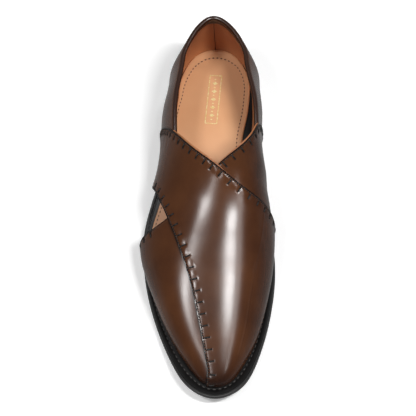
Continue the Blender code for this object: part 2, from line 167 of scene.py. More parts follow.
def edited(piece, *steps):
    """Takes edit-mode steps, each on the whole of a piece."""
    bpy.context.view_layer.objects.active = piece
    piece.select_set(True)
    bpy.ops.object.mode_set(mode="EDIT")
    for step in steps:
        bpy.ops.mesh.select_all(action="SELECT")
        step()
    bpy.ops.object.mode_set(mode="OBJECT")


def merge_close():
    """Merges the corners that meet at a seam or a pole."""
    bpy.ops.mesh.remove_doubles(threshold=0.00001)


def face_out():
    """Turns the faces of a closed shape outwards."""
    bpy.ops.mesh.normals_make_consistent(inside=False)


def laid_out(name, points, finish=(), closed=False, flip=False, merge=True):
    """A grid of faces with its corners at the points, an array of rows; a closed one is round with shut ends."""
    rows, columns = points.shape[:2]
    bpy.ops.mesh.primitive_grid_add(x_subdivisions=columns - 1, y_subdivisions=rows - 1, size=1)
    piece = bpy.context.object
    piece.name = piece.data.name = name
    piece.data.vertices.foreach_set("co", (points * MM).ravel().astype(np.float32))
    piece.data.update()
    bpy.ops.object.shade_smooth()
    if merge:
        edited(piece, merge_close)
    if flip:
        edited(piece, bpy.ops.mesh.flip_normals)
    if closed:
        edited(piece, face_out)
        bpy.ops.object.shade_smooth_by_angle(angle=math.radians(35))
    for material in finish:
        piece.data.materials.append(material)
    piece.select_set(False)
    return piece


def ringed(name, rings, material):
    """A closed piece through rings of corners, each ring shut on its own start."""
    rings = np.array(rings)
    return laid_out(name, np.concatenate([rings, rings[:, :1]], axis=1), [material], closed=True)


def at_tread(plan, rise):
    """Points of a plan, at a height over the tread."""
    return np.c_[plan[:, 0], -plan[:, 1], tread(plan[:, 1]) + rise]


def slab(name, outline, steps, material):
    """A closed piece made of rings round an outline, drawn together along the middle at both ends."""
    rings = []
    for step in steps:
        ring = outline(step.inset)
        middle = (ring + np.roll(ring[::-1], 1, axis=0)) / 2
        plan = ring * (1 - step.inwards) + middle * step.inwards
        rings.append(at_tread(plan, step.rise))
    return ringed(name, rings, material)


def srgb(code):
    """A linear colour from a hex value."""
    parts = [int(code[i:i + 2], 16) / 255 for i in (1, 3, 5)]
    return tuple(c / 12.92 if c <= 0.04045 else ((c + 0.055) / 1.055) ** 2.4 for c in parts) + (1.0,)


def add_node(material, kind, links=(), **settings):
    """Adds a node: settings name its properties or inputs, and links join (input, node, output)."""
    node = material.node_tree.nodes.new(kind)
    for key, value in settings.items():
        if hasattr(node, key):
            setattr(node, key, value)
        else:
            node.inputs[key.replace("_", " ")].default_value = value
    for target, source, output in links:
        material.node_tree.links.new(source.outputs[output], node.inputs[target])
    return node


def new_material(name, **surface):
    """A material, its surface shader with the values that are the same all over, and its texture coordinates."""
    material = bpy.data.materials.new(name)
    material.use_nodes = True
    shader = material.node_tree.nodes["Principled BSDF"]
    for key, value in surface.items():
        shader.inputs[key.replace("_", " ")].default_value = value
    return material, shader, add_node(material, "ShaderNodeTexCoord")


def join(material, source, output, shader, target):
    """Links two sockets."""
    material.node_tree.links.new(source.outputs[output], shader.inputs[target])


def shaded(material, source, output, stops):
    """A ramp of hex shades, given as (place, shade), along another node's output."""
    tone = add_node(material, "ShaderNodeValToRGB", [("Fac", source, output)])
    for _ in stops[2:]:
        tone.color_ramp.elements.new(0.5)
    for element, (at, shade) in zip(tone.color_ramp.elements, stops):
        element.position, element.color = at, srgb(shade)
    return tone


def mottled(name, stops, mottle, pores=None, relief=(), **surface):
    """A finish mottled between hex shades over a fine relief. Mottle and pores are each how many of them lie
    in a metre, so that 1000 are a millimetre wide, and their detail; relief is its strength and depth."""
    material, shader, place = new_material(name, **surface)
    seen = ("Vector", place, "Object")
    clouds = add_node(material, "ShaderNodeTexNoise", [seen], Scale=mottle[0], Detail=mottle[1])
    join(material, shaded(material, clouds, "Fac", stops), "Color", shader, "Base Color")
    if pores:
        grain = add_node(material, "ShaderNodeTexNoise", [seen], Scale=pores[0], Detail=pores[1])
        strength, depth = relief
        bump = add_node(material, "ShaderNodeBump", [("Height", grain, "Fac")], Strength=strength, Distance=depth * MM)
        join(material, bump, "Normal", shader, "Normal")
    return material


# Vulcanised rubber, buffed at the edge: almost black, dull, with a fine sanded tooth.
rubber = mottled("buffed black rubber", [(0, "#161514"), (1, "#252322")], (60.0, 4.0), (900.0, 3.0), (0.25, 0.2),
                 Roughness=0.5, IOR=1.52)

outsole = slab("outsole_rubber", sole_outline, [
    Step(1.0, 0, 1), Step(1.0, 0, 0.5), Step(1.0, 0), Step(0.3, 0.3), Step(0, 1.0), Step(0, 3.0), Step(0, 4.8),
    Step(0.25, 5.4), Step(0.9, 5.7), Step(0.9, 5.7, 0.5), Step(0.9, 5.7, 1),
], rubber)
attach(outsole, "root")
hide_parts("outsole")


# ------------------------------------------------------------
# The heel is a low stack: a rubber lift over a moulded block, glued under the seat of the outsole.
# Its back and sides carry on the sole's outline and taper a little, and its front face is hollowed.
BREAST, BREAST_HOLLOW, HEEL_TAPER = 21.0, 3.0, 1.5
LIFT = 6.0                      # the rubber lift's thickness; a fine groove parts it from the block
HEEL_MIDDLE = np.array([-0.5, -8.0])


def heel_outline(inset):
    """The heel's plan: the sole's outline behind the breast, closed by a hollow front face."""
    loop = sole_outline(inset)
    block = np.vstack([side[side[:, 1] < BREAST - inset] for side in (loop[RING // 2:], loop[:RING // 2])])
    sweep = np.linspace(0, 1, 60)[1:-1]
    first, final = block[-1], block[0]
    across = first[0] + (final[0] - first[0]) * sweep
    breast = np.stack([across, BREAST - inset - BREAST_HOLLOW * np.sin(np.pi * sweep)], -1)
    ring = np.vstack([block, breast, block[:1]])
    return along(ring, np.linspace(0, 1, 300, endpoint=False))


def heel_ring(inset, level, inwards=0.0):
    """One ring of the heel block."""
    ring = heel_outline(inset + HEEL_TAPER * (1 - level / HEEL_HEIGHT))
    plan = ring * (1 - inwards) + HEEL_MIDDLE * inwards
    return np.c_[plan[:, 0], -plan[:, 1], np.full(len(ring), level)]


heel = ringed("heel_block", [
    heel_ring(1, 0, 1), heel_ring(1, 0, 0.5), heel_ring(1, 0), heel_ring(0.3, 0.3), heel_ring(0, 1),
    heel_ring(0, LIFT - 0.5), heel_ring(0.35, LIFT - 0.15), heel_ring(0.35, LIFT + 0.15), heel_ring(0, LIFT + 0.5),
    heel_ring(0, 12), heel_ring(0, 17.2), heel_ring(0.5, 17.7), heel_ring(0.5, 17.7, 0.5), heel_ring(0.5, 17.7, 1),
], rubber)
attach(heel, "root")
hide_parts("heel")


# ------------------------------------------------------------
# The last is not a piece, but every piece of leather is pulled over it: its cross-sections give the
# upper's shape, and the feather line round its foot gives the welt and the insole theirs.
OUTSOLE_THICKNESS, WELT_THICKNESS, GAP = 6.0, 3.0, 0.3
Section = namedtuple("Section", "forward skew lateral medial ridge height fullness tuck_lateral tuck_medial")
LAST = [
    Section(0, 0, -35.0, 33.0, 2.2, 71, 0, 4.8, 5.1),
    Section(30, 0, -39.8, 35.2, 6.5, 74, 0, 5.5, 7.0),
    Section(60, 0, -40.3, 33.9, 12.0, 77, 0, 5.3, 7.0),
    Section(90, 0, -46.8, 39.9, 9.5, 62, -0.01, 5.0, 5.8),
    Section(114, 0, -54.0, 44.2, 6.0, 52.5, 0.01, 5.2, 6.0),
    Section(135, 0, -57.0, 44.6, 1.5, 47.2, 0.03, 7.0, 5.8),
    Section(157, 0, -51.6, 42.8, -4.0, 41.2, 0.06, 5.0, 4.8),
    Section(182, 0.2, -41.7, 38.0, -6.5, 34.2, 0.08, 3.4, 3.5),
    Section(207, 0.8, -30.6, 30.6, -5.0, 24.8, 0.08, 2.4, 2.4),
    Section(226, 2.0, -19.9, 21.0, -1.5, 15.3, 0.07, 2.0, 2.0),
    Section(237, 2.4, -12.6, 13.6, 0.0, 8.8, 0.05, 1.8, 1.8),
    Section(242, 1.4, -7.5, 6.5, -1.5, 4.9, 0.02, 1.7, 1.7),
    Section(243.6, 0, -3.0, -3.0, -3.0, 0, 0, 1.6, 1.6),
]
TIP = LAST[-1].forward
TUCK_REACH, HEEL_CURVE, LAST_BACK = 6.0, 89.0, 41.2
HEEL_PINCH, HEEL_LEAN, HEEL_TUCK = 0.28, 1.5, 0.6
SHARE_OF_HEEL, QUARTER_FRONT = 0.44, 78.0
ARCH_GAP, ARCH_CENTRE, ARCH_LENGTH = 5.5, 45.0, 30.0
Topline = namedtuple("Topline", "forward lateral medial")
TOPLINE = [
    Topline(-41, 57, 57), Topline(-25, 56, 56), Topline(0, 52, 52.5), Topline(30, 48, 49),
    Topline(60, 46, 47), Topline(QUARTER_FRONT, 46, 47),
]
behind = [row._replace(forward=-row.forward) for row in LAST[2:0:-1]]
ROWS = np.array(behind + LAST, float)
half_widths = (ROWS[:, 3] - ROWS[:, 2]) / 2
SPACING = np.linalg.norm(np.diff(np.c_[ROWS[:, 0], half_widths, ROWS[:, 5]], axis=0), axis=1)
KNOTS = np.concatenate([[0], np.cumsum(SPACING ** 0.5)])
FINE = np.linspace(KNOTS[len(behind)], KNOTS[-1], 3000)
FINE_FORWARD = np.maximum.accumulate(through(KNOTS, ROWS[:, 0], FINE))


def board(forward):
    """Height of the welt's top, on which the upper stands."""
    return tread(forward) + OUTSOLE_THICKNESS + WELT_THICKNESS


def eased(share):
    """The share, starting and ending gently."""
    return share**2 * (3 - 2 * share)


def matched(*values):
    """The values as arrays of one shape."""
    return np.broadcast_arrays(*[np.asarray(value, float) for value in values])


def section(forward):
    """The columns of the LAST table at any forward distance."""
    return np.moveaxis(through(KNOTS, ROWS[:, 1:], np.interp(forward, FINE_FORWARD, FINE)), -1, 0)


def arch(forward, girth):
    """x, forward and up on the untucked last, and the tuck's depth."""
    skew, lateral, medial, ridge, height, fullness, tuck_lateral, tuck_medial = section(forward)
    angle = np.pi * girth
    middle, half = (lateral + medial) / 2, (medial - lateral) / 2
    x = middle - half * np.cos(angle) + (ridge - middle) * np.sin(angle) ** 2
    up = height * (np.sin(angle) + fullness * np.sin(3 * angle)) / (1 - fullness)
    inner = (1 - np.cos(angle)) / 2
    return x, forward - skew * np.cos(angle), up, tuck_lateral * (1 - inner) + tuck_medial * inner


def across_outline(forward, side):
    """Outward normal in plan of the last's outline, on the lateral (0) or medial (1) side."""
    forward = np.minimum(forward, TIP - 0.05)
    reach = np.clip((TIP - forward) / 2, 0.02, 1.0)
    x_back, f_back, _, _ = arch(forward - reach, side)
    x_front, f_front, _, _ = arch(forward + reach, side)
    turn = 1 - 2 * side
    return unit(np.stack([turn * (f_back - f_front), turn * (x_front - x_back)], -1))


NOSE = unit(across_outline(TIP, 0.0) + across_outline(TIP, 1.0))


def tip_share(forward):
    """Rises from 0 to 1 over the last stretch before the tip, where both sides meet."""
    near = np.clip(1 - (TIP - forward) / 1.5, 0, 1)
    return eased(near)[..., None]


def sideways(forward, side):
    """Outward direction in plan on one side, turning to the nose at the tip."""
    share = tip_share(forward)
    return unit(across_outline(forward, side) * (1 - share) + NOSE * share)


def last(forward, girth):
    """A point of the last's surface."""
    forward, girth = matched(forward, girth)
    x, f, up, tuck = arch(forward, girth)
    inner = ((1 - np.cos(np.pi * girth)) / 2)[..., None]
    out = sideways(forward, 0) * (1 - inner) + sideways(forward, 1) * inner
    pull = tuck * np.exp(-up / TUCK_REACH)
    x, f = x - out[..., 0] * pull, f - out[..., 1] * pull
    return np.stack([x, -f, board(f) + GAP + up], -1)


def heel_wall(turn, height):
    """The last round the heel: turn is -1 at the lateral end, 0 at the back and 1 at the medial end."""
    girth = np.arcsin(height / section(0.0)[4]) / np.pi
    lateral, medial = last(0.0, girth)[..., 0], last(0.0, 1 - girth)[..., 0]
    angle = turn * np.pi / 2
    round_back, share = np.abs(np.sin(angle)), height / TOPLINE[0].lateral
    # The wall is hollowed half-way up and a little at its foot, and leans in towards the back of the collar.
    hollow = 0.2 * np.sin(np.pi * np.clip(share, 0, 1) ** 1.6) * (1 - round_back**12)
    hollow += 0.06 * (1 - share) * (1 - round_back**6)
    pinch = 1 - HEEL_PINCH * share * np.cos(angle) ** 2 - hollow * round_back
    tuck = section(0.0)[6] * HEEL_TUCK * np.exp(-height / TUCK_REACH)
    back = LAST_BACK * np.sqrt(1 - (height / HEEL_CURVE) ** 2) - tuck
    middle, half = (lateral + medial) / 2, (medial - lateral) / 2
    x = middle + half * np.sin(angle) * pinch - HEEL_LEAN * share * np.cos(angle) ** 2
    return np.stack([x, back * np.cos(angle), board(0.0) + GAP + height], -1)


def quarter_forward(place):
    """Forward distance of a place on the quarter, which runs from -1 (lateral front) to 1 (medial front)."""
    side = (np.abs(place) - SHARE_OF_HEEL) / (1 - SHARE_OF_HEEL) * QUARTER_FRONT
    turn = np.clip(np.abs(place) / SHARE_OF_HEEL, 0, 1) * np.pi / 2
    return np.where(np.abs(place) < SHARE_OF_HEEL, -LAST_BACK * np.cos(turn), side)


def quarter(place, height):
    """A point of the last under the quarter."""
    place, height = matched(place, height)
    forward = np.clip(quarter_forward(place), 0, None)
    girth = np.arcsin(height / section(forward)[4]) / np.pi
    side = last(forward, np.where(place < 0, girth, 1 - girth))
    round_heel = heel_wall(np.clip(place / SHARE_OF_HEEL, -1, 1), height)
    return np.where((np.abs(place) < SHARE_OF_HEEL)[..., None], round_heel, side)


def topline(place):
    """Height of the quarter's top edge at a place."""
    table = np.array(TOPLINE, float)
    lateral, medial = np.moveaxis(through(table[:, 0], table[:, 1:], quarter_forward(place)), -1, 0)
    inner = (1 + np.sin(np.clip(place / SHARE_OF_HEEL, -1, 1) * np.pi / 2)) / 2
    return lateral * (1 - inner) + medial * inner


LEVEL_REACH = 4.0               # how high above the welt the leather still stands out level
NEARBY = 0.4                    # the small step along the last by which its slope is felt


def over_welt(point):
    """Height of points above the welt's top."""
    return point[..., 2] - board(-point[..., 1]) - GAP


def lifted(point, out, reach):
    """Moves points outwards; near the welt the way out is level and keeps a height over the welt's slope."""
    level = np.exp(-np.clip(over_welt(point), 0, None) / LEVEL_REACH)
    out = unit(out)
    out[..., 2] *= 1 - level
    moved = point + unit(out) * np.asarray(reach, float)[..., None]
    moved[..., 2] += (board(-moved[..., 1]) - board(-point[..., 1])) * level
    return moved


def over_last(forward, girth, reach):
    """A point at a distance outside the last, on the vamp."""
    forward, girth = matched(forward, girth)
    near = np.minimum(forward, TIP - 0.6)
    middle = np.clip(girth, 0.004, 0.996)
    lengthwise = last(near + NEARBY, middle) - last(near - NEARBY, middle)
    across = last(near, middle + 0.004) - last(near, middle - 0.004)
    nose = np.append(NOSE * (1, -1), 0.0)
    share = tip_share(forward)
    return lifted(last(forward, girth), unit(np.cross(lengthwise, across)) * (1 - share) + nose * share, reach)


def over_quarter(place, height, reach):
    """A point at a distance outside the last, on the quarter."""
    place, height = matched(place, height)
    upward = quarter(place, height + NEARBY) - quarter(place, np.clip(height - NEARBY, 0, None))
    lengthwise = quarter(place + 0.006, height) - quarter(place - 0.006, height)
    return lifted(quarter(place, height), np.cross(upward, lengthwise), reach)


def bell(distance, width):
    """One at no distance, falling off as a bell whose half width is given."""
    return np.exp(-(distance / width) ** 2)


def feather_outline(outset):
    """The last's foot in plan, let out by the outset; at the medial arch it stands off the wall."""
    heel_turn = np.linspace(0, 1, 120, endpoint=False)
    sides = TIP * (1 - (1 - np.linspace(0, 1, 400)) ** 1.6)
    points = np.vstack([
        heel_wall(-heel_turn, np.zeros(120)), last(sides, 0.0), last(sides[::-1][1:], 1.0),
        heel_wall(1 - heel_turn[1:], np.zeros(119)),
    ])
    loop = np.c_[points[:, 0], -points[:, 1]]
    is_medial = np.clip(loop[:, 0] / 10, 0, 1)
    stand_off = ARCH_GAP * bell(loop[:, 1] - ARCH_CENTRE, ARCH_LENGTH) * is_medial
    return halves(loop - inwards_of(loop) * (outset - stand_off)[:, None])


# ------------------------------------------------------------
# The welt is a strip of black leather sewn round the upper's foot and cemented on the outsole. Its
# edge is trimmed with the sole and waxed, and its top shows as a narrow ledge all round the toe.
WELT_SETBACK = 0.8
# A corner of the welt's section: share of the way from the feather line to the edge, height over the tread.
Ledge = namedtuple("Ledge", "across up")
LEDGE = [
    Ledge(0, 6.0), Ledge(0, 8.6), Ledge(0.04, 9.0), Ledge(0.3, 9.0), Ledge(0.46, 9.0), Ledge(0.52, 8.75),
    Ledge(0.64, 8.75), Ledge(0.7, 9.0), Ledge(0.9, 9.0), Ledge(0.96, 8.9), Ledge(1.0, 8.4), Ledge(1.0, 7.2),
    Ledge(1.0, 6.5), Ledge(0.96, 6.1), Ledge(0.9, 6.0), Ledge(0.5, 6.0), Ledge(0, 6.0),
]
welt_inner, welt_outer = feather_outline(-GAP), sole_outline(WELT_SETBACK)

# Waxed black calf: close-grained, with a satin shine along the trimmed edge.
welting, shader, place = new_material("waxed black welting", Specular_IOR_Level=0.3)
wax = add_node(welting, "ShaderNodeTexNoise", [("Vector", place, "Object")], Scale=120.0, Detail=4.0)
grain = add_node(welting, "ShaderNodeTexVoronoi", [("Vector", place, "Object")], Scale=1500.0)
shine = add_node(welting, "ShaderNodeMapRange", [("Value", wax, "Fac")], To_Min=0.34, To_Max=0.5)
relief = add_node(welting, "ShaderNodeBump", [("Height", grain, "Distance")], Strength=0.1, Distance=0.0002)
join(welting, shaded(welting, wax, "Fac", [(0, "#080707"), (1, "#0e0d0d")]), "Color", shader, "Base Color")
join(welting, shine, "Result", shader, "Roughness")
join(welting, relief, "Normal", shader, "Normal")

welt = ringed("welt_strip", [
    at_tread(welt_inner * (1 - ledge.across) + welt_outer * ledge.across, ledge.up) for ledge in LEDGE
], welting)
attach(welt, "root")
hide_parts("welt")


# ------------------------------------------------------------
# The insole is a leatherboard with a sock of smooth tan leather glued over it and stitched round.
# Its edge is rounded over, and at the medial arch it stands clear of the shoe's wall.
def insole_outline(inset):
    """The insole's edge in plan, drawn in by the inset; round the heel it is let out to meet the lining."""
    loop = feather_outline(-GAP)
    let_out = 0.15 + 1.5 * np.clip((-loop[:, 1] - 8) / 26, 0, 1)
    return loop + inwards_of(loop) * (inset - let_out)[:, None]


# Vegetable-tanned sheepskin: pale tan, very fine pores, a low even sheen.
sock = mottled("tan sock leather", [(0.3, "#d29a6e"), (0.7, "#dca87c")], (18.0, 5.0), (1400.0, 2.0), (0.2, 0.1),
               Roughness=0.5)
insole = slab("insole_sock", insole_outline, [
    Step(0.6, 6.3, 1), Step(0.6, 6.3, 0.5), Step(0.6, 6.3), Step(0, 6.8), Step(0, 9.2), Step(0.15, 9.9),
    Step(0.6, 10.35), Step(1.4, 10.5), Step(3.0, 10.5), Step(3.0, 10.45, 0.15), Step(3.0, 10.3, 0.35),
    Step(3.0, 10.2, 0.6), Step(3.0, 10.15, 0.8), Step(3.0, 10.15, 1),
], sock)
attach(insole, "root")
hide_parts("insole")


# ------------------------------------------------------------
# The quarter is one piece of polished chestnut calf that wraps the heel, with a calf lining pasted
# inside it. Its front ends run under the two straps, and a seam closes the lining at the back.
LEATHER, LINING = 2.0, 0.9
PASTE = 0.05                    # the gap between a piece of calf and its lining
ROUND = 261                     # corners round the quarter, from its lateral front end to its medial one


def polished_calf(name, edges_show):
    """Chestnut calf under clear wax, with a fine grain; painted shade darkens it towards the medial side, and its
    colour is darker towards the toe's tip; where its edges show, black dye runs over them."""
    material, shader, place = new_material(name, IOR=1.36)
    seen = ("Vector", place, "Object")
    clouds = add_node(material, "ShaderNodeTexNoise", [seen], Scale=22.0, Detail=6.0, Roughness=0.6)
    where = add_node(material, "ShaderNodeSeparateXYZ", [seen])
    # Painted shade: the colour darkens from 20 to 50 mm out on the medial side, for the shade and dark reflection
    # there.
    medial = add_node(material, "ShaderNodeMapRange", [("Value", where, "X")],
                      From_Min=0.02, From_Max=0.05, To_Min=0.0, To_Max=0.5)
    # The colour also darkens over the toe's tip.
    tip = add_node(material, "ShaderNodeMapRange", [("Value", where, "Y")],
                   From_Min=-0.222, From_Max=-0.245, To_Min=0.0, To_Max=0.45)
    painted_shade_and_dark_tip = add_node(material, "ShaderNodeMath", [(0, medial, "Result"), (1, tip, "Result")], operation="MAXIMUM")
    # The mottle, less the painted shade and the dark tip, picks the brown.
    dyed = add_node(material, "ShaderNodeMath", [(0, clouds, "Fac"), (1, painted_shade_and_dark_tip, "Value")], operation="SUBTRACT")
    colour, output = shaded(material, dyed, "Value", [(0.0, "#24120a"), (0.3, "#3e2110"), (0.72, "#54311a")]), "Color"
    grain = add_node(material, "ShaderNodeTexVoronoi", [seen], Scale=1100.0)
    fine = add_node(material, "ShaderNodeTexNoise", [seen], Scale=700.0, Detail=4.0, Roughness=0.7)
    both = add_node(material, "ShaderNodeMath", [(0, grain, "Distance"), (1, fine, "Fac")], operation="ADD")
    relief = add_node(material, "ShaderNodeBump", [("Height", both, "Value")], Strength=0.045, Distance=0.0002)
    wear = add_node(material, "ShaderNodeTexNoise", [seen], Scale=90.0, Detail=5.0)
    shine = add_node(material, "ShaderNodeMapRange", [("Value", wear, "Fac")], To_Min=0.18, To_Max=0.27)
    if edges_show:
        rim = add_node(material, "ShaderNodeAttribute", attribute_name="from_edge")
        bare = add_node(material, "ShaderNodeMapRange", [("Value", rim, "Fac")], From_Min=0.55, From_Max=0.8)
        colour, output = add_node(material, "ShaderNodeMix", [("Factor", bare, "Result"), ("B", colour, "Color")],
                                  data_type="RGBA", A=srgb("#0e0b0a")), "Result"
    join(material, colour, output, shader, "Base Color")
    join(material, shine, "Result", shader, "Roughness")
    join(material, relief, "Normal", shader, "Normal")
    return material


def thicken(piece, thickness, rim_material=0):
    """Gives a sheet of leather its thickness, inwards from its outer face, and rounds its cut edge."""
    wall = piece.modifiers.new("thickness", "SOLIDIFY")
    wall.thickness, wall.offset, wall.use_even_offset = thickness * MM, -1, False
    wall.material_offset_rim = rim_material
    edge = piece.modifiers.new("edge", "BEVEL")
    edge.width, edge.segments, edge.limit_method, edge.angle_limit = 0.3 * MM, 2, "ANGLE", math.radians(50)
    bpy.context.view_layer.objects.active = piece
    piece.select_set(True)
    for modifier in ("thickness", "edge"):
        bpy.ops.object.modifier_apply(modifier=modifier)
    bpy.ops.object.shade_smooth_by_angle(angle=math.radians(40))
    piece.select_set(False)


# Lining calf: undyed, warmer and darker than the sock, with a soft nap.
lining = mottled("tan lining calf", [(0, "#a8683f"), (1, "#b8784e")], (25.0, 5.0), (1200.0, 2.0), (0.2, 0.1),
                 Roughness=0.6)

place_round, share_up = np.linspace(-1, 1, ROUND), np.linspace(0, 1, 44)[:, None]
wall_height = share_up * (topline(place_round) - 0.5)
outer, inner = [
    laid_out(name, over_quarter(place_round, wall_height, np.full(wall_height.shape, reach)), [leather])
    for name, reach, leather in (
        ("quarter_leather", LEATHER, polished_calf("polished chestnut calf", False)),
        ("quarter_lining", LINING - PASTE, lining),
    )
]
thicken(outer, LEATHER - LINING)
thicken(inner, LINING - PASTE)
for piece in (outer, inner):
    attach(piece, "root")
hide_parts("upper")


# ------------------------------------------------------------
# The collar is bound with a folded strip of the same calf: a round glossy bead along the top edge,
# turned down inside as a plain dark facing and sewn through below the bead.
Fold = namedtuple("Fold", "down reach")
COLLAR = [
    Fold(4.6, 1.9), Fold(4.4, 2.3), Fold(3.4, 2.45), Fold(2.6, 2.45), Fold(2.2, 2.35), Fold(1.7, 2.75), Fold(0.9, 3.0),
    Fold(0, 2.9), Fold(-0.8, 2.4), Fold(-1.2, 1.6), Fold(-1.2, 0.8), Fold(-0.8, 0), Fold(0, -0.5), Fold(0.9, -0.65),
    Fold(1.6, -0.5), Fold(2.2, -0.35), Fold(4.0, -0.5), Fold(6.2, -0.5), Fold(7.6, -0.45), Fold(7.8, -0.1),
]
FACING_FROM = 13                # from this fold on, the strip is the dark facing inside
TURN = 2.2                      # below this depth the facing hangs deeper behind the heel
deeper_behind = 2.1 * np.clip(1 - np.abs(place_round) / 0.4, 0, 1) ** 0.5

# Binding calf: thin hide dyed a shade darker than the upper, waxed to a hard shine.
binding_calf = mottled("dark waxed binding calf", [(0, "#24130b"), (1, "#361e13")], (40.0, 5.0), (900.0, 3.0),
                       (0.1, 0.2), Roughness=0.24)
# Facing calf: the same hide, dyed almost black-brown and left matt.
facing = mottled("dark facing calf", [(0, "#180b06"), (1, "#20110a")], (40.0, 5.0), (900.0, 3.0), (0.3, 0.2),
                 Roughness=0.5)


def fold_round(fold):
    """The line of one fold of the binding round the collar."""
    deeper = deeper_behind * (fold.reach < 0) * np.clip(fold.down - TURN, 0, 3) / 3
    return over_quarter(place_round, topline(place_round) - fold.down - deeper, np.full(ROUND, fold.reach))


binding = laid_out("collar_binding", np.array([fold_round(fold) for fold in COLLAR]), [binding_calf, facing])
for face in binding.data.polygons:
    face.material_index = int(face.index // (ROUND - 1) >= FACING_FROM)
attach(binding, "root")


# ------------------------------------------------------------
# The back seam closes the lining behind the heel: its two edges are butted and joined by a dark calf
# piping, as thin as a thread, that runs up to the collar's facing.
SEAM_WIDE, SEAM_PROUD, BELOW_COLLAR = 0.13, 0.12, 9.4
seam_up = np.linspace(1.0, topline(np.array([0.0]))[0] - BELOW_COLLAR, 40)[:, None]
seam_round = np.radians(np.linspace(0, 360, 9))
seam_middle = over_quarter(SEAM_WIDE * np.sin(seam_round) / 60, seam_up + 0 * seam_round, np.full((40, 9), 0.05))
seam_swell = np.cos(seam_round)[None, :, None] * SEAM_PROUD * np.array([0, -1, 0])
back_seam = laid_out("lining_back_seam", seam_middle + seam_swell, [binding_calf], closed=True)
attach(back_seam, "root")


# ------------------------------------------------------------
# The under strap comes from the medial side of the heel, crosses under the other and covers the
# lateral toe. Calf outside and tan calf inside are sewn together, and the cut edges are dyed black.
Edge = namedtuple("Edge", "forward girth")
UNDER_TOP = [
    Edge(132.5, 0), Edge(130.5, 0.065), Edge(128.5, 0.18), Edge(124.3, 0.264), Edge(108, 0.366),
    Edge(91.4, 0.467), Edge(83.2, 0.543), Edge(69.4, 0.67), Edge(49.7, 0.846), Edge(44, 1),
]
GIRTH_MM = 150.0                # a middling girth of the last, which puts girth and forward on one scale
ROW_INSET, BAR_INSET, BAR_LENGTH = 1.2, 1.5, 4.4     # the fine row and the whip bars, in from the cut edge
STRAP_CALF, STRAP_LINING, LINING_SHOWS = 1.1, 0.75, 0.7
THROAT = 0.48                   # the girth at which the straps cross


def edge_line(edges, count=600):
    """A smooth polyline of forward and girth in millimetres through strap edge points."""
    points = np.array(edges, float) * (1, GIRTH_MM)
    run = travelled(points)
    return through(run, points, np.linspace(0, run[-1], count))


def feather(start, girth):
    """The feather line from a forward distance to the tip."""
    return np.c_[np.linspace(start, TIP, 300), np.full(300, girth * GIRTH_MM)]


def strap_grid(top, left, right, rows, columns, fade, corner=0.0, lag=1.0, gather=1.0):
    """Forward and girth over a strap, from its top edge to the toe's tip: rows lie closer at both ends, one
    passes through the corner, and the top edge's bow fades down the strap."""
    across = np.linspace(0, 1, columns) ** gather
    down = 1 - (1 - np.linspace(0, 1, rows) ** 1.3) ** 1.4
    down[np.argmin(np.abs(down - corner))] = corner
    start, end = along(left, down), along(right, down ** lag)
    bow = along(top, across) - (start[0] + (end[0] - start[0]) * across[:, None])
    straight = start[:, None] + (end - start)[:, None] * across[:, None]
    grid = straight + bow * np.clip(1 - down / fade, 0, 1)[:, None, None] ** 1.6
    return grid[..., 0], np.clip(grid[..., 1] / GIRTH_MM, 0, 1)


def under_reach(forward, girth):
    """How far the under strap's outer face stands off the last: higher where it lies on the quarter."""
    on_quarter = np.clip((QUARTER_FRONT + 16 - forward) / 16, 0, 1)
    return LEATHER + eased(on_quarter) * LEATHER


def over_reach(forward, girth):
    """How far the over strap's outer face stands off the last."""
    return np.full(np.shape(forward), 2 * LEATHER)


def smooth_face(forward, girth, reach):
    """Points of a strap's outer face and the way out of it, before any stitch pulls it in."""
    face = over_last(forward, girth, reach(forward, girth))
    return face, unit(face - over_last(forward, girth, reach(forward, girth) - 1.0))


def cut_edge(line, reach):
    """Points of a strap's outer cut edge."""
    return smooth_face(line[:, 0], line[:, 1] / GIRTH_MM, reach)[0]


# A cut edge to sew along: its strap's face and the way out of it, its line, and 1 or -1 by the leather's side.
Seam = namedtuple("Seam", "face out line reach turn")


def sewn_at(seam, places, inset):
    """Points on a strap's face at distances along its cut edge and in from it, and the way out there."""
    edge, out = smooth_face(seam.line[:, 0], seam.line[:, 1] / GIRTH_MM, seam.reach)
    inward = unit(np.cross(unit(np.gradient(edge, axis=0)), out)) * seam.turn
    run = travelled(edge)
    points = np.stack([np.interp(places, run, column) for column in (edge + inward * inset).T], -1)
    face, ways = seam.face.reshape(-1, 3), seam.out.reshape(-1, 3)
    near = np.array([((face - point) ** 2).sum(1).argmin() for point in points])
    return points - ways[near] * ((points - face[near]) * ways[near]).sum(1)[:, None], ways[near]


def bar_ends(seam, places):
    """Both ends of each whip bar along a seam, and the way out there."""
    start, ways = sewn_at(seam, places, BAR_INSET)
    end, _ = sewn_at(seam, places, BAR_INSET + BAR_LENGTH)
    return list(zip(start, end, ways))


def away_from(points, lines):
    """Distance of each point from the nearest of the segments, which start with their two ends."""
    nearest = np.full(points.shape[:-1], 99.0)
    for start, end, *_ in lines:
        step = end - start
        share = np.clip(((points - start) @ step) / (step @ step), 0, 1)[..., None]
        nearest = np.minimum(nearest, np.linalg.norm(points - start - step * share, axis=-1))
    return nearest


def from_lines(points, lines):
    """Distance of each point from polylines of closely spaced corners."""
    corners = np.vstack([line[::2] for line in lines])
    flat = points.reshape(-1, 3)
    return np.concatenate([
        np.sqrt(((part[:, None] - corners[None]) ** 2).sum(-1).min(1)) for part in np.array_split(flat, 80)
    ]).reshape(points.shape[:-1])


Crease = namedtuple("Crease", "start end width depth")      # (forward, girth) at both ends, half width and depth


def creased(points, creases, reach):
    """How far soft creases sink the leather; a negative depth makes a ridge."""
    sunk = np.zeros(points.shape[:-1])
    share = np.linspace(0, 1, 14)
    for crease in creases:
        forward, girth = [start + (end - start) * share for start, end in zip(crease.start, crease.end)]
        spine = over_last(forward, girth, reach(share * 0 + 130, 0))
        sunk += crease.depth * bell(away_from(points, zip(spine[2:-3], spine[3:-2])), crease.width)
    return sunk


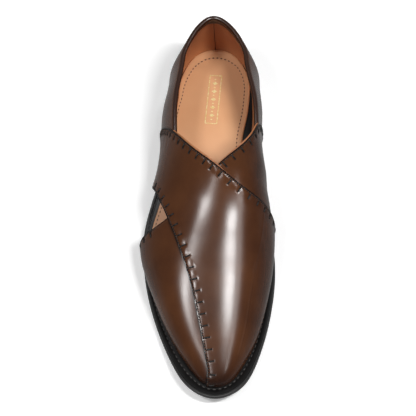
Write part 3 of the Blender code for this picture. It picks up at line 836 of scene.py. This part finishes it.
# How deep or high the leather gives to its stitches, what it loses of that at the toe, how far in from the
# edge or up from the welt that is, and over what width.
Give = namedtuple("Give", "most lost at width")
TROUGH, PUFF = Give(0.34, 0.16, 0, 0.85), Give(0.26, 0.20, 3.6, 2.4)
FURROW, RIDGE = Give(0.16, 0, ROW_INSET, 0.6), Give(0.32, 0, 1.7, 0.8)


def pulled_in(face, edges, bars, creases, reach):
    """How far the stitches and creases sink a strap's face: a trough at each bar and a puff between two, a
    furrow along the fine row, and a low ridge where the leather turns out to the welt."""
    from_edge, from_bar = from_lines(face, edges), away_from(face, bars)
    near_toe = np.clip((-face[..., 1] - 150) / 60, 0, 1)
    sunk = (TROUGH.most - TROUGH.lost * near_toe) * bell(from_bar, TROUGH.width)
    puff = (PUFF.most - PUFF.lost * near_toe) * bell(from_edge - PUFF.at, PUFF.width)
    sunk -= puff * (1 - bell(from_bar, PUFF.width))
    sunk += FURROW.most * bell(from_edge - FURROW.at, FURROW.width)
    sunk -= RIDGE.most * bell(over_welt(face) - RIDGE.at, RIDGE.width)
    return sunk + creased(face, creases, reach), from_edge


# Edge dye: black spirit dye and wax, burnished on the cut edge.
edge_dye = mottled("burnished black edge dye", [(0, "#0a0807"), (1, "#120e0d")], (300.0, 3.0), (1200.0, 2.0),
                   (0.1, 0.1), Roughness=0.35)
edged_calf = polished_calf("polished chestnut calf with dyed edge", True)


def sewn_strap(name, grid, lining_grid, reach, edges, bars, creases=()):
    """A strap's outer calf, pulled in by its stitches, and the lining pasted under it."""
    face, _ = smooth_face(*grid, reach)
    sunk, from_edge = pulled_in(face, edges, bars, creases, reach)
    calf = laid_out(name + "_calf", over_last(*grid, reach(*grid) - sunk), [edged_calf, edge_dye],
                    flip=True, merge=False)
    stored = calf.data.attributes.new("from_edge", "FLOAT", "POINT")
    stored.data.foreach_set("value", np.ravel(from_edge).astype(np.float32))
    edited(calf, merge_close)
    thicken(calf, STRAP_CALF, 1)
    under = over_last(*lining_grid, reach(*lining_grid) - STRAP_CALF - PASTE)
    inside = laid_out(name + "_lining", under, [lining], flip=True)
    thicken(inside, STRAP_LINING)
    for piece in (calf, inside):
        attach(piece, "root")


def shown_edge(line, turn):
    """The lining's top edge: past the calf's where the strap stands clear, on one side of the throat."""
    clear = 1 / (1 + np.exp(-turn * (line[:, 1] / GIRTH_MM - THROAT) / 0.015))
    return line - np.c_[LINING_SHOWS * clear, 0 * clear]


def under_grid(line, rows, columns):
    """The under strap's grid, below its top line."""
    foot = [feather(UNDER_TOP[end].forward, girth) for end, girth in ((0, 0.0), (-1, 1.0))]
    return strap_grid(line, *foot, rows, columns, 0.7)


under_line = edge_line(UNDER_TOP)
under_edge = cut_edge(under_line, under_reach)
under_run = travelled(under_edge)[-1]
under_seam = Seam(*smooth_face(*under_grid(under_line, 120, 160), under_reach), under_line, under_reach, 1)
under_bars = bar_ends(under_seam, np.concatenate([[15.0, 24.5, 34.0], under_run - 7.0 - 9.0 * np.arange(14)]))
sewn_strap("under_strap", under_grid(under_line, 190, 190), under_grid(shown_edge(under_line, 1), 90, 90),
           under_reach, [under_edge], under_bars)


# ------------------------------------------------------------
# The over strap comes from the lateral side of the heel over the instep and covers the rest of the
# vamp. Its front edge runs down the toe as a lapped seam on the under strap.
OVER_TOP = [
    Edge(43.5, 0), Edge(47, 0.105), Edge(60.5, 0.211), Edge(78.5, 0.338), Edge(91.5, 0.467),
    Edge(104, 0.609), Edge(111, 0.76), Edge(119, 1),
]
OVER_FRONT = [
    Edge(85, 0), Edge(90, 0.085), Edge(107.5, 0.21), Edge(124.5, 0.284), Edge(145, 0.35), Edge(169.5, 0.419),
    Edge(194, 0.46), Edge(216, 0.471), Edge(230, 0.46), Edge(TIP, 0.455),
]
foot = np.c_[np.linspace(OVER_TOP[0].forward, OVER_FRONT[0].forward, 30), np.zeros(30)]
over_top_line, over_front_line = edge_line(OVER_TOP), edge_line(OVER_FRONT)
over_left = np.vstack([foot[:-1], over_front_line])
over_corner = travelled(over_left)[len(foot) - 1] / travelled(over_left)[-1]
top_edge, front_edge = cut_edge(over_top_line, over_reach), cut_edge(over_front_line, over_reach)
top_run, front_run = travelled(top_edge)[-1], travelled(front_edge)[-1]


def over_grid(line, rows, columns, gather=1.0):
    """The over strap's grid, below its top line."""
    medial = feather(OVER_TOP[-1].forward, 1.0)
    return strap_grid(line, over_left, medial, rows, columns, 0.3, over_corner, 1.4, gather)


over_face = smooth_face(*over_grid(over_top_line, 140, 160), over_reach)
top_seam = Seam(*over_face, over_top_line, over_reach, 1)
front_seam = Seam(*over_face, over_front_line, over_reach, -1)
TOP_BARS = np.concatenate([18 + 4.6 * np.arange(7), 51.5 + 7.2 * np.arange(8), 110.5 + 9.3 * np.arange(9)])
FRONT_BARS = 27.0 + 8.8 * np.arange(20)
top_bars = bar_ends(top_seam, TOP_BARS[TOP_BARS < top_run - 4])
front_bars = bar_ends(front_seam, FRONT_BARS[FRONT_BARS < front_run - 2])
PUCKERS = [
    # small folds fanning from the lateral corner
    Crease((50, 0.08), (64, 0.07), 1.1, 0.25), Crease((52, 0.115), (66, 0.10), 1.2, 0.25),
    Crease((54.5, 0.15), (68, 0.13), 1.2, 0.2), Crease((57, 0.18), (69, 0.165), 1.2, 0.15),
    # the strap's bend over the ball of the foot, and the hollow beside the toe seam
    Crease((120, 0.72), (150, 0.86), 5.0, 0.2), Crease((112, 0.60), (128, 0.74), 4.0, -0.2),
    Crease((118, 0.42), (140, 0.40), 6.0, -0.15), Crease((132, 0.30), (184, 0.435), 5.0, 0.45),
    # two fine ridges along the medial side of the toe
    Crease((108, 0.757), (173, 0.759), 0.8, -0.2), Crease((142, 0.752), (236, 0.804), 0.8, -0.2),
]
sewn_strap("over_strap", over_grid(over_top_line, 222, 190, 1.3), over_grid(shown_edge(over_top_line, -1), 120, 100),
           over_reach, [top_edge, front_edge], top_bars + front_bars, PUCKERS)


# ------------------------------------------------------------
# Whip bars bind the straps' edges: waxed black linen laid square to the edge between two awl holes,
# with a short tack across each end. Every hole shows a rim of raw tan leather, whose copper also stands in as a
# painted glint.
Frame = namedtuple("Frame", "middle along out")


def frames_at(middle, ahead, ways, sunk=0.0):
    """Frames at points of a row, from points a little ahead of them and the ways out."""
    return [Frame(m - sunk * out, a - m, out) for m, a, out in zip(middle, ahead, ways)]


def set_out(template, material, frames, name):
    """Copies a small piece, modelled about the origin, to each frame, as one mesh."""
    template.data.materials.append(material)
    bpy.ops.object.select_all(action="DESELECT")
    for frame in frames:
        ahead = Vector(frame.along).normalized()
        out = Vector(frame.out)
        out = (out - ahead * out.dot(ahead)).normalized()
        turn = Matrix((ahead, out.cross(ahead), out)).transposed().to_4x4()
        copy = template.copy()
        copy.data = template.data.copy()
        copy.data.transform(Matrix.Translation(Vector(frame.middle) * MM) @ turn)
        bpy.context.collection.objects.link(copy)
        copy.select_set(True)
        bpy.context.view_layer.objects.active = copy
    bpy.ops.object.join()
    piece = bpy.context.object
    piece.name = piece.data.name = name
    piece.select_set(False)
    bpy.data.objects.remove(template)
    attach(piece, "root")


def thread_rod(length, radius, corners):
    """A short rod of thread lying along X on the origin, its ends rounded and bent down into their holes."""
    bpy.ops.mesh.primitive_cylinder_add(vertices=corners, radius=radius * MM, depth=length * MM,
                                        end_fill_type="NGON", rotation=(0, math.pi / 2, 0))
    rod = bpy.context.object
    bpy.ops.object.transform_apply(location=False, rotation=True, scale=False)
    edited(rod, *[
        lambda cut=cut: bpy.ops.mesh.bisect(plane_co=(cut * length * MM, 0, 0), plane_no=(1, 0, 0))
        for cut in (-0.3, 0.0, 0.3)
    ])
    for vertex in rod.data.vertices:
        place = vertex.co.x / (length * MM / 2)
        if abs(place) > 0.99:
            vertex.co.y *= 0.45
            vertex.co.z *= 0.45
        vertex.co.z += (0.3 - 0.75 * place**2) * radius * MM
    bpy.ops.object.shade_smooth_by_angle(angle=math.radians(60))
    rod.select_set(False)
    return rod


def tack(length, radius, x):
    """A short tack of thread across a bar."""
    rod = thread_rod(length, radius, 8)
    rod.data.transform(Matrix.Translation((x * MM, 0, 0)) @ Matrix.Rotation(math.pi / 2, 4, "Z"))
    return rod


def joined(pieces):
    """Joins pieces into the first."""
    bpy.ops.object.select_all(action="DESELECT")
    for piece in pieces:
        piece.select_set(True)
    bpy.context.view_layer.objects.active = pieces[0]
    bpy.ops.object.join()
    pieces[0].select_set(False)
    return pieces[0]


# Waxed linen thread: black, close-laid, with a small bright glint of wax.
linen = mottled("waxed black linen thread", [(0, "#060504"), (1, "#0c0908")], (3000.0, 2.0), (3000.0, 2.0), (0.4, 0.1),
                Roughness=0.5, Specular_IOR_Level=0.3)
# Raw calf at an awl hole: undyed, coppery tan, dull; its pale copper partly stands in as a painted glint.
raw_calf = mottled("raw calf and painted glint at the awl holes", [(0, "#5e3520"), (1, "#9a6a48")], (1500.0, 2.0), Roughness=0.55)

CORNER_BARS = 9                 # the first bars of the top edge, thin and close, at the lateral corner
SUNK = 0.05                     # how deep a bar and its hole's rim are set
bar_frames, hole_frames = [], []
for first, final, out in top_bars + front_bars + under_bars:
    bar_frames.append(Frame((first + final) / 2 - SUNK * out, final - first, out))
    hole_frames.append(Frame(first + 0.1 * unit(final - first) - SUNK * out, final - first, out))
bar = joined([
    thread_rod(BAR_LENGTH, 0.6, 12), tack(1.9, 0.3, -BAR_LENGTH / 2 + 0.1), tack(1.5, 0.42, BAR_LENGTH / 2 - 0.1),
])
set_out(bar, linen, bar_frames[CORNER_BARS:], "whip_bars")
set_out(thread_rod(BAR_LENGTH, 0.34, 10), linen, bar_frames[:CORNER_BARS], "corner_whip_bars")

bpy.ops.mesh.primitive_torus_add(major_segments=14, minor_segments=6, major_radius=0.55 * MM, minor_radius=0.14 * MM)
bpy.ops.object.shade_smooth()
set_out(bpy.context.object, raw_calf, hole_frames, "awl_hole_rims_and_glints")


# ------------------------------------------------------------
# A fine lock-stitched row runs just inside each cut edge: black thread that dips into its holes, with
# flecks of tan between the stitches, partly the leather showing and partly a painted glint.
STITCH, STITCH_SUNK = 2.0, 0.12     # from one hole to the next, and how deep the thread lies


def row_frames(seam, first, final):
    """Frames of a sewn row between two distances along a seam."""
    places = np.arange(first, final, STITCH)
    middle, ways = sewn_at(seam, places, ROW_INSET)
    ahead, _ = sewn_at(seam, places + 0.3, ROW_INSET)
    return frames_at(middle, ahead, ways, STITCH_SUNK)


rows = row_frames(top_seam, 3, top_run - 3) + row_frames(front_seam, 3, front_run - 3)
rows += row_frames(under_seam, 3, 40) + row_frames(under_seam, under_run - 128, under_run - 3)
set_out(thread_rod(1.5, 0.44, 8), linen, rows, "lock_stitch_row")
between = [Frame(row.middle + unit(row.along) * STITCH / 2 - 0.02 * row.out, row.along, row.out) for row in rows]
bpy.ops.mesh.primitive_uv_sphere_add(segments=6, ring_count=4, radius=0.2 * MM)
set_out(bpy.context.object, raw_calf, between, "lock_row_flecks_and_glints")


# ------------------------------------------------------------
# A row of dark stitches holds the collar's binding to the quarter. It is sewn by machine through the
# binding, the calf and the lining, just below the bead outside.
COLLAR_ROW_DOWN, COLLAR_ROW_REACH = 5.2, 2.2


def below_bead(places, reach=COLLAR_ROW_REACH):
    """Points on the quarter's outside, just below the bead."""
    return over_quarter(places, topline(places) - COLLAR_ROW_DOWN, np.full(len(places), reach))


row_places = np.linspace(-0.98, 0.98, 141)
ways_out = unit(below_bead(row_places) - below_bead(row_places, COLLAR_ROW_REACH - 1))
collar_row = frames_at(below_bead(row_places), below_bead(row_places + 0.002), ways_out)
set_out(thread_rod(1.5, 0.34, 6), linen, collar_row, "collar_stitch_row")


# ------------------------------------------------------------
# The welt is sewn to the sole all round with heavy waxed flax, and the stitches lie in a shallow
# groove half-way out on its top.
WELT_STITCH, WELT_ROW_RISE, WELT_ROW_OUT = 4.2, 8.95, 0.58


def laid_along(path, stitch, rise, ahead=0.0):
    """Frames for a row sewn flat round a closed path in plan, at a height over the tread; ahead is how much of
    a stitch the whole row is moved on."""
    closed = np.vstack([path, path[:1]])
    count = int(travelled(closed)[-1] / stitch)
    share = (np.arange(count) + ahead) / count
    middle, nearby = [at_tread(along(closed, places % 1), rise) for places in (share, share + 0.0005)]
    return frames_at(middle, nearby, [np.array((0, 0, 1))] * count)


# Waxed flax: dark grey, mottled paler; the paler grey partly stands in as a painted glint on the thread.
flax = mottled("waxed grey flax with painted glint", [(0, "#181615"), (1, "#46423f")], (900.0, 3.0), Roughness=0.4)
welt_middle = welt_inner * (1 - WELT_ROW_OUT) + welt_outer * WELT_ROW_OUT
welt_row = laid_along(welt_middle, WELT_STITCH, WELT_ROW_RISE)
set_out(thread_rod(2.5, 0.44, 8), flax, welt_row, "welt_stitch_row")


# ------------------------------------------------------------
# The sock is stitched to the board round its edge in tan linen; each stitch dips into a hole pricked
# by the awl, and the shade in each hole is painted as a dark patch.
SOCK_STITCH, SOCK_ROW_RISE, SOCK_HOLE_RISE = 3.3, 10.36, 10.3
insole_path = insole_outline(5.6)
forward, lateral_side = insole_path[:, 1], insole_path[:, 0] < 0
# Nearer the edge forward of the seat, further from it behind the heel.
nearer = np.where(lateral_side, 3.4 * np.clip((forward + 20) / 34, 0, 1), 1.2 * np.clip((forward + 34) / 20, 0, 1))
nearer = nearer - 3.0 * np.clip((-22 - forward) / 14, 0, 1)
insole_path = insole_path - inwards_of(insole_path) * nearer[:, None]


def scaled(piece, *scale):
    """Applies a size and place to a fresh primitive."""
    piece.scale = scale
    bpy.ops.object.transform_apply(location=True, rotation=True, scale=True)
    return piece


# Linen thread in the sock's own tan.
tan_linen = mottled("tan linen thread", [(0, "#b07c58"), (1, "#e0b898")], (3000.0, 2.0), Roughness=0.6)
# Painted shade: a dark brown patch sunk in each awl hole stands for the shade inside it.
pricked = mottled("painted shade in the sock's awl holes", [(0, "#4a2a19"), (1, "#6e452c")], (1500.0, 2.0), Roughness=0.7)
sock_row = laid_along(insole_path, SOCK_STITCH, SOCK_ROW_RISE)
set_out(thread_rod(2.2, 0.3, 6), tan_linen, sock_row, "sock_stitch_row")
bpy.ops.mesh.primitive_uv_sphere_add(segments=10, ring_count=5, radius=0.58 * MM)
hole = scaled(bpy.context.object, 1.75, 1.05, 0.6)
pricked_row = laid_along(insole_path, SOCK_STITCH, SOCK_HOLE_RISE, 0.5)
set_out(hole, pricked, pricked_row, "sock_stitch_holes")


# ------------------------------------------------------------
# A plain gilt border is stamped on the seat of the sock, round a row of small lozenges: gold foil,
# pressed into the leather with a hot die.
STAMP_WIDE, STAMP_LONG, LINE, FOIL = 10.0, 45.0, 0.75, 0.12
bpy.ops.mesh.primitive_plane_add(size=1)
border = scaled(bpy.context.object, STAMP_WIDE * MM, STAMP_LONG * MM, 1)
border.name = "gilt_border"
edited(border, lambda: (bpy.ops.mesh.inset(thickness=LINE * MM), bpy.ops.mesh.delete(type="FACE")),
       lambda: bpy.ops.mesh.extrude_region_move(TRANSFORM_OT_translate={"value": (0, 0, FOIL * MM)}), face_out)
ornaments = [border]
for step in range(-5, 6):
    size = 2.6 if step % 2 == 0 else 1.1
    bpy.ops.mesh.primitive_cylinder_add(vertices=4, radius=1, depth=FOIL * MM,
                                        location=(0, step * 3.7 * MM, FOIL / 2 * MM))
    ornaments.append(scaled(bpy.context.object, size * 0.85 * MM, size * 0.62 * MM, 1))
gilding = joined(ornaments)
seat_middle = Matrix.Translation((-2.0 * MM, -7.2 * MM, 28.1 * MM))
gilding.data.transform(seat_middle @ Matrix.Rotation(math.radians(-4.3), 4, "Z"))

# Gold foil, rubbed thin: bright metal over a dull tan ground.
foil = mottled("worn gold foil", [(0.35, "#dcb868"), (0.6, "#f8e8b4")], (900.0, 4.0), Metallic=0.25, Roughness=0.35)
gilding.data.materials.append(foil)
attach(gilding, "root")


# ------------------------------------------------------------
# The stage is a white paper sweep, lit by soft boxes over the vamp and by the white room, and seen
# steeply from over the toe.
bpy.ops.mesh.primitive_plane_add(size=8, location=(0, 0, -0.0002))
floor = bpy.context.object
floor.name = "studio_floor"
paper, shader, _ = new_material("white background paper", Base_Color=(0.9, 0.9, 0.9, 1), Roughness=0.9,
                                Specular_IOR_Level=0.0, Emission_Color=(1, 1, 1, 1), Emission_Strength=0.27)
floor.data.materials.append(paper)
floor.visible_glossy = False

# A white room, brightest low down where the white sweep is lit: it lights the shoe evenly from all
# round and greys the polish on the walls, where they face the floor.
world = bpy.data.worlds.new("studio")
bpy.context.scene.world = world
world.use_nodes = True
room = world.node_tree.nodes["Background"]
facing_way = add_node(world, "ShaderNodeTexCoord")
split = add_node(world, "ShaderNodeSeparateXYZ", [("Vector", facing_way, "Generated")])
level = add_node(world, "ShaderNodeMapRange", [("Value", split, "Z")],
                 From_Min=-0.3, From_Max=0.1, To_Min=0.38, To_Max=0.2)
room.inputs["Color"].default_value = (1, 1, 1, 1)
join(world, level, "Result", room, "Strength")


AIM, SEAT, LIGHT_AWAY = Vector((0, -0.16, 0.04)), Vector((0, -0.022, 0.03)), 1.2


def light(kind, name, aim, direction, turn, **settings):
    """A studio light, seen from the place it is aimed at in the given direction."""
    bpy.ops.object.light_add(type=kind, location=aim + direction * LIGHT_AWAY)
    made = bpy.context.object
    made.name, made.rotation_mode, made.rotation_quaternion = name, "QUATERNION", turn
    for key, value in settings.items():
        setattr(made.data, key, value)
    made.select_set(False)
    return made


def soft_box(name, direction, width, length, power, gloss_only=True):
    """A rectangular lamp over the vamp, its long side along the shoe."""
    toward = Vector(direction).normalized()
    side = Vector((0, 1, 0)).cross(toward).normalized()
    turn = Matrix((side, toward.cross(side), toward)).transposed().to_quaternion()
    box = light("AREA", name, AIM, toward, turn, shape="RECTANGLE", size=width, size_y=length, energy=power)
    box.visible_diffuse = not gloss_only


soft_box("medial_key", (0.36, -0.155, 0.92), 0.30, 0.08, 10.4, gloss_only=False)
soft_box("medial_tail", (0.57, -0.24, 0.78), 0.15, 0.62, 3.2)
soft_box("lateral_key", (-0.33, -0.15, 0.93), 0.22, 0.2, 5.0, gloss_only=False)
soft_box("lateral_tail", (-0.30, -0.25, 0.92), 0.13, 0.95, 6.6)

# A small spot from behind the medial side falls on the insole, and the heel's wall throws its shadow there.
from_behind = Vector((0.24, 0.20, 0.95)).normalized()
spot = light("SPOT", "heel_spot", SEAT, from_behind, from_behind.to_track_quat("Z", "Y"),
             energy=6.5, shadow_soft_size=0.035, spot_size=math.radians(8.5), spot_blend=0.6)
spot.visible_glossy = False

# The camera looks down at 64 degrees from over the toe, turned a little on its axis.
LOOK_DOWN, ROLL = 64, 2.54
bpy.ops.object.camera_add(location=(0.0444, -0.5872, 1.0187))
camera = bpy.context.object
camera.name = "camera"
camera.data.sensor_width, camera.data.lens = 36.0, 123.7
camera.data.clip_start, camera.data.clip_end = 0.05, 20
camera.rotation_mode = "QUATERNION"
tilt = Matrix.Rotation(math.radians(90 - LOOK_DOWN), 4, "X")
camera.rotation_quaternion = (tilt @ Matrix.Rotation(math.radians(ROLL), 4, "Y")).to_quaternion()
bpy.context.scene.camera = camera
bpy.context.scene.view_settings.view_transform = "Standard"
